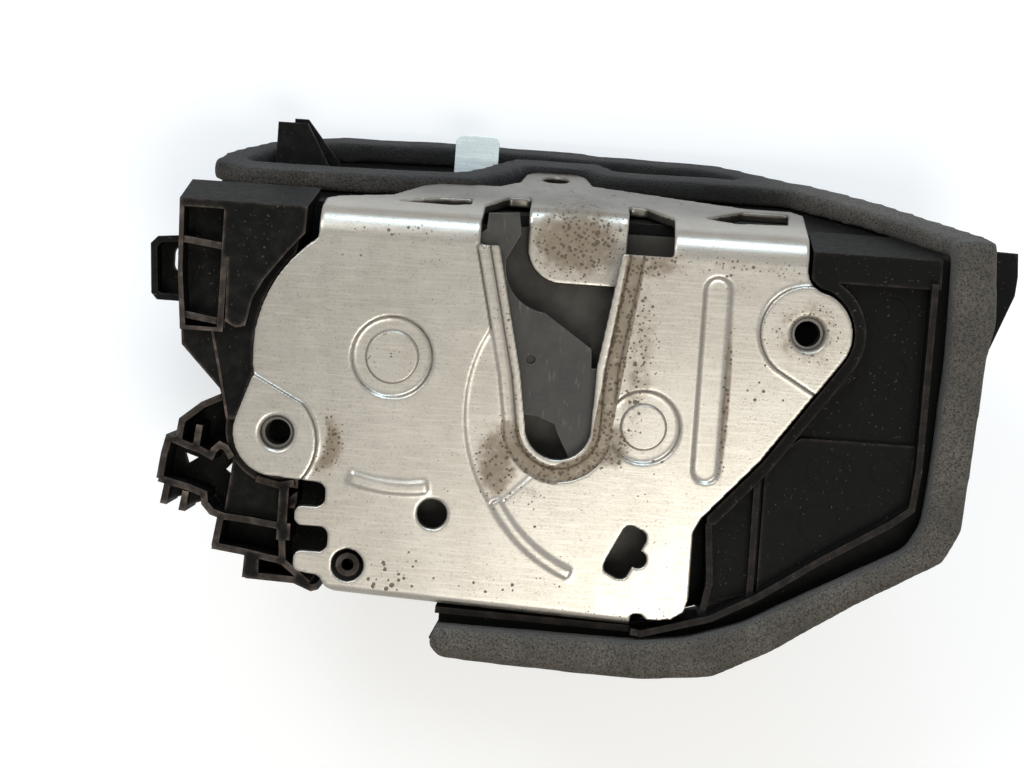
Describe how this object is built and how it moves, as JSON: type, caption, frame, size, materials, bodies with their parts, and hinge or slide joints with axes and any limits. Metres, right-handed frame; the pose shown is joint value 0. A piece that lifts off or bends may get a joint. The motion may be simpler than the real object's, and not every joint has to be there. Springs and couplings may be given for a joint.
{
  "type": "door latch actuator",
  "caption": "Vehicle door latch with pressed steel plate, turning claw and pawl, release levers, foam seal and a geared electric lock drive in a plastic housing.",
  "frame": {"origin": "middle of the striker slot's round end, on the latch plate's front face", "axes": "+X along the latch plate, +Y into the door behind the plate, +Z out of the striker slot's mouth"},
  "size_m": [0.1706, 0.0645, 0.1054],
  "materials": {
    "zinc_sheet": "satin",
    "steel": "satin",
    "galvanised": "satin",
    "black_plastic": "matte",
    "claw_plastic": "satin",
    "foam": "matte",
    "rubber": "matte",
    "gear_plastic": "satin",
    "contact_brass": "satin"
  },
  "bodies": {
    "base": {"latch_plate": "zinc_sheet", "back_plate": "steel", "claw_pin": "steel", "pawl_pin": "steel", "spacer_tube": "black_plastic", "weld_nuts": "galvanised", "latch_housing": "black_plastic", "actuator_housing": "black_plastic", "actuator_cover": "black_plastic", "cover_screws": "steel", "back_screws": "steel", "seal_gasket": "foam", "motor": "galvanised", "idler_axle": "steel", "inner_lever_pin": "steel", "release_pin": "steel", "connector_terminals": "contact_brass", "claw_bumper": "rubber", "claw_switch": "black_plastic", "claw_spring": "steel", "pawl_spring": "steel"},
    "claw": {"claw_core": "steel", "claw_jacket": "claw_plastic"},
    "pawl": {"pawl": "steel"},
    "release": {"release_lever": "galvanised"},
    "inner_release": {"inner_release_lever": "galvanised"},
    "lock": {"lock_lever": "gear_plastic", "lock_crank": "steel"},
    "idler": {"idler_gear": "gear_plastic"},
    "motor_drive": {"motor_pinion": "contact_brass", "motor_shaft": "steel"}
  },
  "joints": [
    {"name": "claw_turn", "type": "hinge", "parent": "base", "child": "claw", "pos_m": [-0.0328, 0.006, 0.0112], "axis": [0, 1, 0], "range_deg": [0, 52], "stiffness_Nm_per_rad": 0.04, "springref_deg": -17.19},
    {"name": "pawl_turn", "type": "hinge", "parent": "base", "child": "pawl", "pos_m": [0.0164, 0.006, 0.0011], "axis": [0, 1, 0], "range_deg": [0, 7]},
    {"name": "inner_release_turn", "type": "hinge", "parent": "base", "child": "inner_release", "pos_m": [-0.02135, 0.033, 0.031], "axis": [-1, 0, 0], "range_deg": [0, 6]},
    {"name": "release_turn", "type": "hinge", "parent": "base", "child": "release", "pos_m": [-0.004, 0.0186, -0.014], "axis": [0, 1, 0], "range_deg": [0, 5.33]},
    {"name": "lock_turn", "type": "hinge", "parent": "base", "child": "lock", "pos_m": [0.00405, 0.028, -0.00038], "axis": [0, 1, 0], "range_deg": [0, 36]},
    {"name": "idler_turn", "type": "hinge", "parent": "base", "child": "idler", "pos_m": [-0.01996, 0.03, -0.00248], "axis": [0, 1, 0], "range_deg": [-144.1, 0]},
    {"name": "motor_turn", "type": "hinge", "parent": "base", "child": "motor_drive", "pos_m": [-0.036, 0.032, 0.005], "axis": [0, 1, 0], "range_deg": [0, 490]}
  ],
  "couplings": [
    {"joint": "release_turn", "follows": "inner_release_turn", "ratio": 0.888},
    {"joint": "pawl_turn", "follows": "inner_release_turn", "ratio": 1.1666},
    {"joint": "idler_turn", "follows": "lock_turn", "ratio": -4},
    {"joint": "motor_turn", "follows": "lock_turn", "ratio": 13.6}
  ]
}
